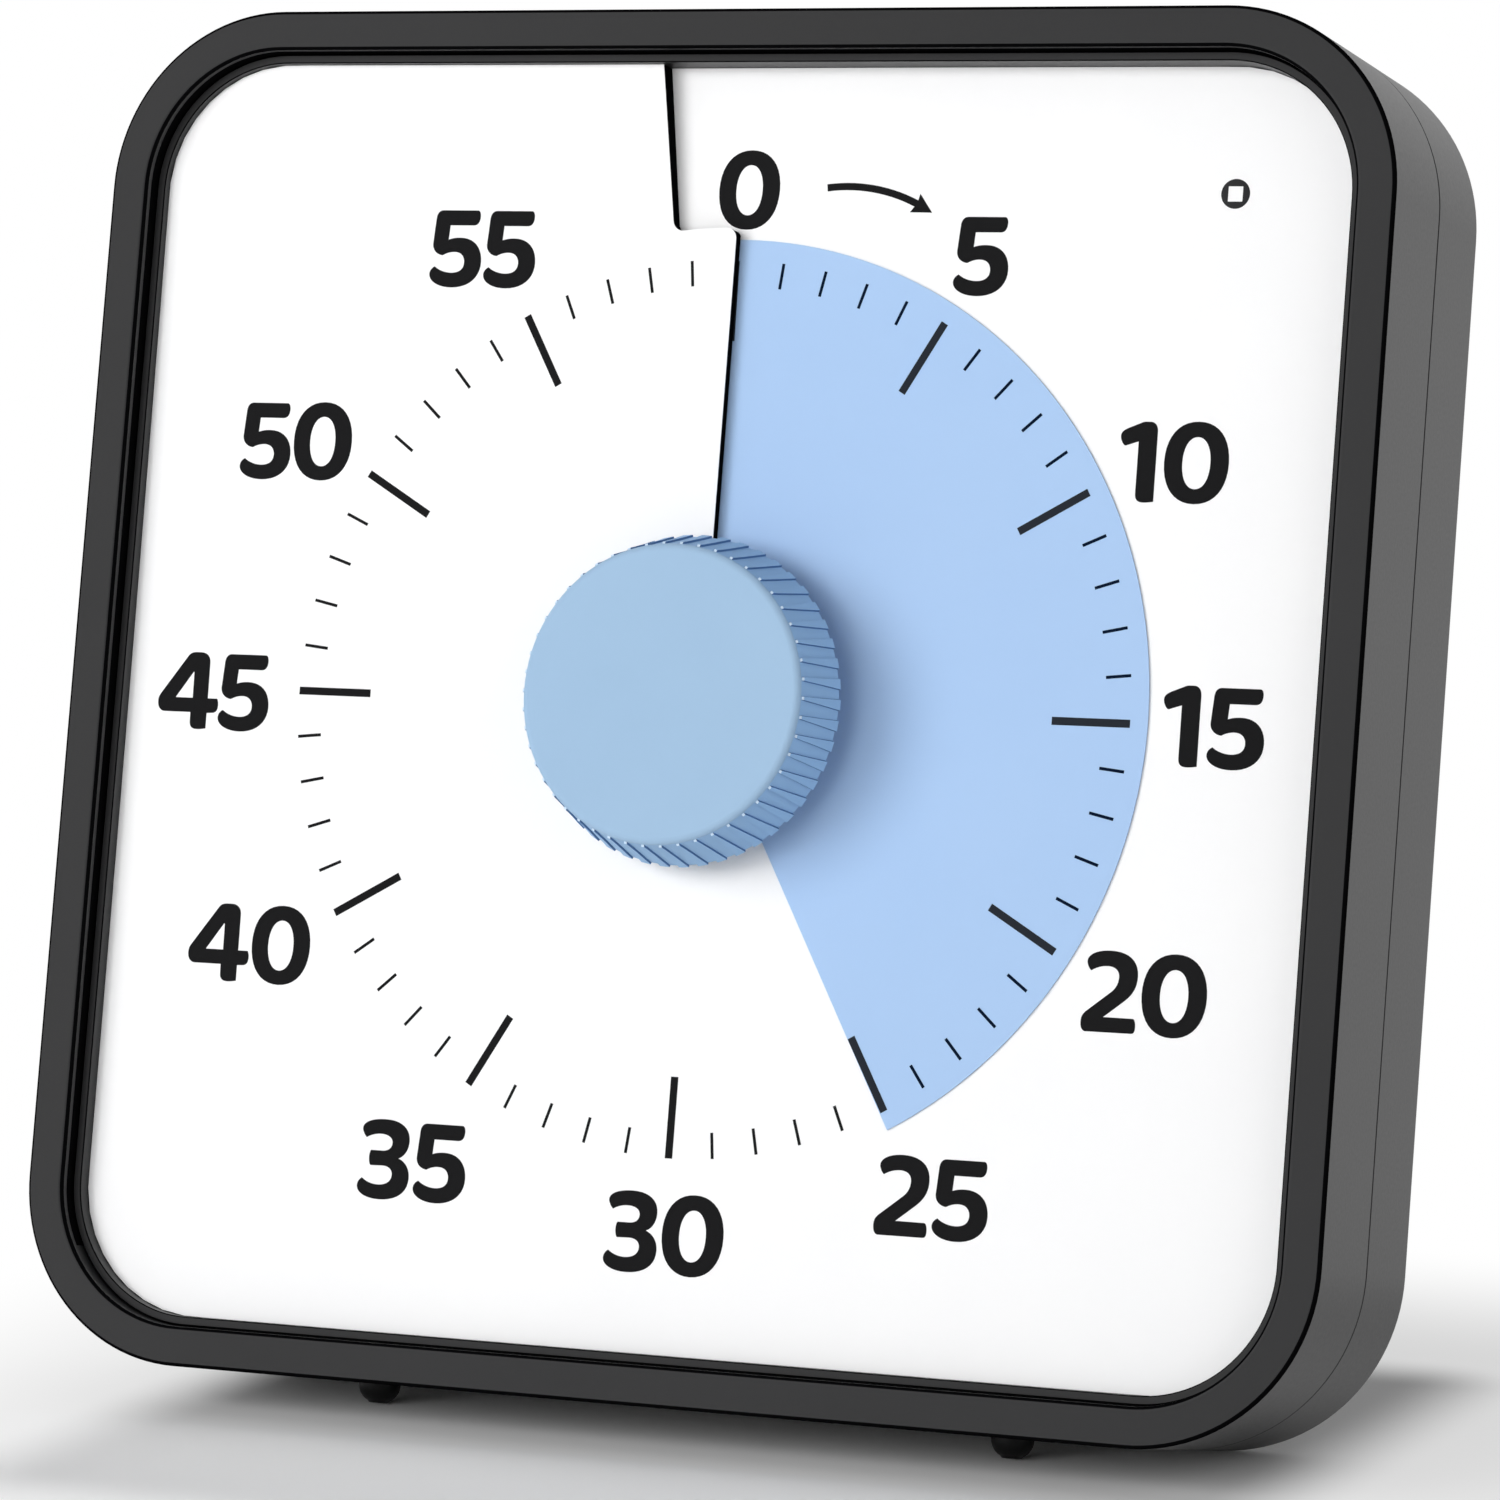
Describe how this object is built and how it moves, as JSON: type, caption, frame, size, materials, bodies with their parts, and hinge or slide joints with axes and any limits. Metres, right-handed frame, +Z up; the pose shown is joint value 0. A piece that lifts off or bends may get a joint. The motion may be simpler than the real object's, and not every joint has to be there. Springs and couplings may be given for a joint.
{
  "type": "timer",
  "caption": "Square dark grey visual countdown timer with a white sixty-minute dial, a light blue disc showing the time left and a ribbed light blue knob",
  "frame": {"origin": "middle of the standing timer's footprint, on the surface it stands on", "axes": "+Z up, -Y is the dial side, +X is to the right of the dial as seen"},
  "size_m": [0.19, 0.075, 0.1933],
  "materials": {
    "case_plastic": "matte",
    "dial_white": "matte",
    "blue_disc": "matte",
    "blue_knob": "matte",
    "black_plastic": "matte",
    "black_rubber": "matte",
    "gear_plastic": "matte",
    "steel": "satin",
    "chassis_plastic": "matte",
    "board_green": "satin",
    "magnet": "satin",
    "copper": "satin",
    "cell_jacket": "satin",
    "lamp_white": "satin",
    "lead_jacket": "satin",
    "bobbin_plastic": "matte"
  },
  "bodies": {
    "case": {"front_case": "case_plastic", "rear_case": "case_plastic", "trim_ring": "case_plastic", "dial_plate": "dial_white", "chassis_plate": "chassis_plastic", "movement_front": "black_plastic", "movement_back": "black_plastic", "stator": "steel", "coil_core": "steel", "coil_bobbin": "bobbin_plastic", "coil_winding": "copper", "movement_screws": "steel", "circuit_board": "board_green", "board_screws": "steel", "control_chip": "black_plastic", "lamp_holder": "black_plastic", "lamp_chip": "lamp_white", "sounder": "black_plastic", "switch_body": "steel", "battery_cells": "cell_jacket", "contact_springs": "steel", "contact_plates": "steel", "case_screws": "steel", "foot_pegs": "black_rubber", "stand_pin": "steel", "lead_wires": "lead_jacket"},
    "dial": {"knob": "blue_knob", "spindle": "steel", "clutch_spring": "steel"},
    "disc": {"disc_hub": "blue_disc", "colour_disc": "blue_disc"},
    "output": {"output_wheel": "gear_plastic"},
    "idler": {"idler_wheel": "gear_plastic"},
    "motor": {"rotor": "gear_plastic", "rotor_magnet": "magnet"},
    "stand": {"kickstand": "case_plastic"},
    "door": {"battery_door": "case_plastic"},
    "slider": {"switch_slider": "black_plastic"}
  },
  "joints": [
    {"name": "dial_spin", "type": "hinge", "parent": "case", "child": "dial", "pos_m": [0, -0.01141, 0.09866], "axis": [0, 0.9812, -0.1931], "range_deg": [-150, 210]},
    {"name": "disc_lift", "type": "slide", "parent": "dial", "child": "disc", "axis": [0, -0.9812, 0.1931], "range_m": [-0.00084, 0.00118]},
    {"name": "output_spin", "type": "hinge", "parent": "case", "child": "output", "pos_m": [0, -0.00435, 0.09727], "axis": [0, 0.9812, -0.1931], "continuous": true},
    {"name": "idler_spin", "type": "hinge", "parent": "case", "child": "idler", "pos_m": [0.01237, -0.00419, 0.08462], "axis": [0, 0.9812, -0.1931], "continuous": true},
    {"name": "rotor_spin", "type": "hinge", "parent": "case", "child": "motor", "pos_m": [-0.00197, -0.00444, 0.0802], "axis": [0, 0.9812, -0.1931], "continuous": true},
    {"name": "stand_fold", "type": "hinge", "parent": "case", "child": "stand", "pos_m": [0, -0.00056, 0.01295], "axis": [1, 0, 0], "range_deg": [0, 96]},
    {"name": "door_swing", "type": "hinge", "parent": "case", "child": "door", "pos_m": [0, 0.02415, 0.12397], "axis": [-1, 0, 0], "range_deg": [0, 100]},
    {"name": "switch_slide", "type": "slide", "parent": "case", "child": "slider", "axis": [1, 0, 0], "range_m": [-0.003, 0.003]}
  ],
  "couplings": [
    {"joint": "disc_lift", "follows": "dial_spin", "m_per_rad": 0.00031831},
    {"joint": "idler_spin", "follows": "output_spin", "ratio": -6},
    {"joint": "rotor_spin", "follows": "output_spin", "ratio": 30}
  ]
}
